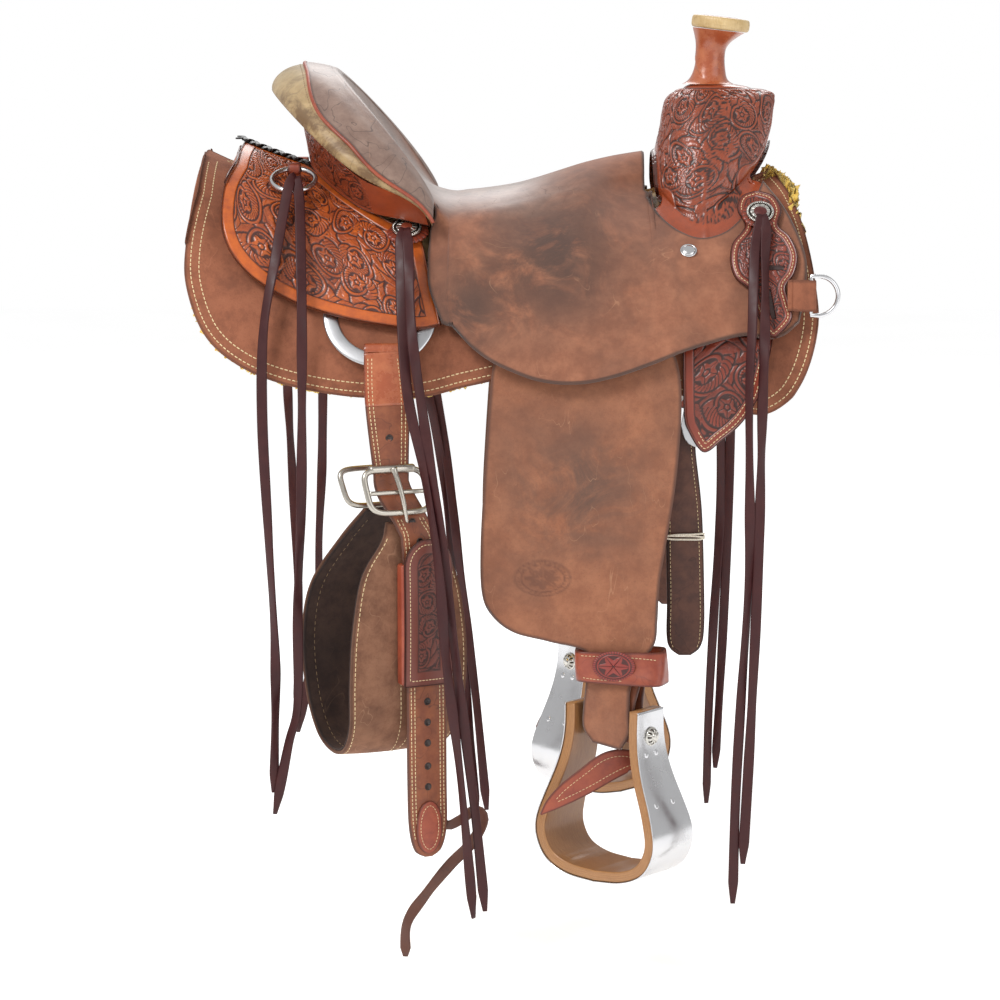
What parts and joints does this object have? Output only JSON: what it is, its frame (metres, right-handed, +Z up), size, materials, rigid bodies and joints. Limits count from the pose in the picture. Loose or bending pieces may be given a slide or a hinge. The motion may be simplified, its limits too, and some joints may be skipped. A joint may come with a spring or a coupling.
{
  "type": "western saddle",
  "caption": "Western saddle with a post horn, rolled cantle, long fenders, wooden stirrups with steel plates, flank rigging and tie strings.",
  "frame": {"origin": "on the centre plane, at the level of the horse's spine, in the middle of the skirts' length", "axes": "+X towards the horse's head, +Y towards the near (left) side, +Z up"},
  "size_m": [0.7381, 0.617, 1.0662],
  "materials": {
    "tree": "rawhide-covered wood, matt",
    "roughout": "rough-out leather, napped and stained",
    "seat": "smooth seat leather, worn and lightly cracked",
    "tooled": "floral tooled leather with a smooth border",
    "swell": "tooled leather, oiled dark",
    "horn": "smooth wrapped leather",
    "rawhide": "rawhide, stained",
    "fleece": "sheepskin",
    "dark": "dark oiled strap leather",
    "lace": "lace leather, waxed",
    "steel": "polished, with wear",
    "nickel": "nickel plate, dulled",
    "silver": "engraved, darkened in the cuts",
    "oak": "bent laminated oak, varnished"
  },
  "bodies": {
    "saddle": {"saddle_tree": "tree", "ground_seat": "tree", "horn_core": "steel", "swell_cover": "swell", "horn_wrap": "horn", "horn_cap": "rawhide", "horn_cap_binding": "rawhide", "seat_leather": "seat", "cantle_roll": "rawhide", "cantle_back": "tooled", "rear_jockey_left": "tooled", "rear_jockey_right": "tooled", "skirt_left": "roughout", "skirt_right": "roughout", "fleece_left": "fleece", "fleece_right": "fleece", "front_rigging_left": "tooled", "front_rigging_right": "tooled", "rigging_plate_left": "steel", "rigging_plate_right": "steel", "flank_ring_left": "steel", "flank_ring_right": "steel", "front_concho_left": "silver", "front_concho_right": "silver", "mid_concho_left": "silver", "mid_concho_right": "silver", "rear_ring_left": "steel", "rear_ring_right": "steel", "latigo_keeper_left": "tooled", "latigo_keeper_right": "tooled", "seat_screw_left": "steel", "seat_screw_right": "steel", "front_strings_left": "lace", "front_strings_right": "lace", "mid_strings_left": "lace", "mid_strings_right": "lace", "rear_strings_left": "lace", "rear_strings_right": "lace"},
    "off_billet": {"off_billet_right": "dark"},
    "latigo": {"latigo_left": "dark"},
    "flank_rigging": {"flank_billet_right": "tooled", "flank_cinch": "roughout", "cinch_keeper": "tooled", "cinch_buckle_front": "nickel", "cinch_buckle_back": "nickel", "connector_strap": "dark"},
    "stirrup_leathers_right": {"fender_right": "roughout", "stirrup_leather_right": "tooled", "hobble_strap_right": "tooled"},
    "stirrup_right": {"stirrup_right": "oak", "stirrup_plate_right": "steel", "stirrup_bolt_right": "silver"},
    "breast_dee_right": {"breast_dee_right": "steel"},
    "stirrup_leathers_left": {"fender_left": "roughout", "stirrup_leather_left": "tooled", "hobble_strap_left": "tooled"},
    "stirrup_left": {"stirrup_left": "oak", "stirrup_plate_left": "steel", "stirrup_bolt_left": "silver"},
    "breast_dee_left": {"breast_dee_left": "steel"}
  },
  "joints": [
    {"name": "fender_swing_right", "type": "hinge", "parent": "saddle", "child": "stirrup_leathers_right", "pos_m": [0.104, -0.1973, -0.03], "axis": [0, -0.9781, 0.2079], "range_deg": [-3, 15], "deforming": ["front_strings_right"]},
    {"name": "stirrup_swing_right", "type": "hinge", "parent": "stirrup_leathers_right", "child": "stirrup_right", "pos_m": [0.129, -0.22707, -0.543], "axis": [0.788, -0.6157, 0], "range_deg": [-10, 20]},
    {"name": "breast_dee_swing_right", "type": "hinge", "parent": "saddle", "child": "breast_dee_right", "pos_m": [0.347, -0.2225, -0.05], "axis": [0, 0, -1], "range_deg": [-20, 75]},
    {"name": "fender_swing_left", "type": "hinge", "parent": "saddle", "child": "stirrup_leathers_left", "pos_m": [0.104, 0.1973, -0.03], "axis": [0, -0.9781, -0.2079], "range_deg": [-3, 15], "deforming": ["front_strings_left"]},
    {"name": "stirrup_swing_left", "type": "hinge", "parent": "stirrup_leathers_left", "child": "stirrup_left", "pos_m": [0.129, 0.22707, -0.543], "axis": [-0.788, -0.6157, 0], "range_deg": [-10, 20]},
    {"name": "breast_dee_swing_left", "type": "hinge", "parent": "saddle", "child": "breast_dee_left", "pos_m": [0.347, 0.2225, -0.05], "axis": [0, 0, 1], "range_deg": [-20, 75]},
    {"name": "off_billet_swing", "type": "hinge", "parent": "saddle", "child": "off_billet", "pos_m": [0.2105, -0.207, -0.209], "axis": [0, -1, 0], "range_deg": [-25, 25]},
    {"name": "latigo_swing", "type": "hinge", "parent": "saddle", "child": "latigo", "pos_m": [0.2095, 0.207, -0.209], "axis": [0, -1, 0], "range_deg": [-25, 25]},
    {"name": "flank_swing", "type": "hinge", "parent": "saddle", "child": "flank_rigging", "pos_m": [-0.13, -0.222, -0.118], "axis": [1, 0, 0], "range_deg": [0, 15]}
  ]
}
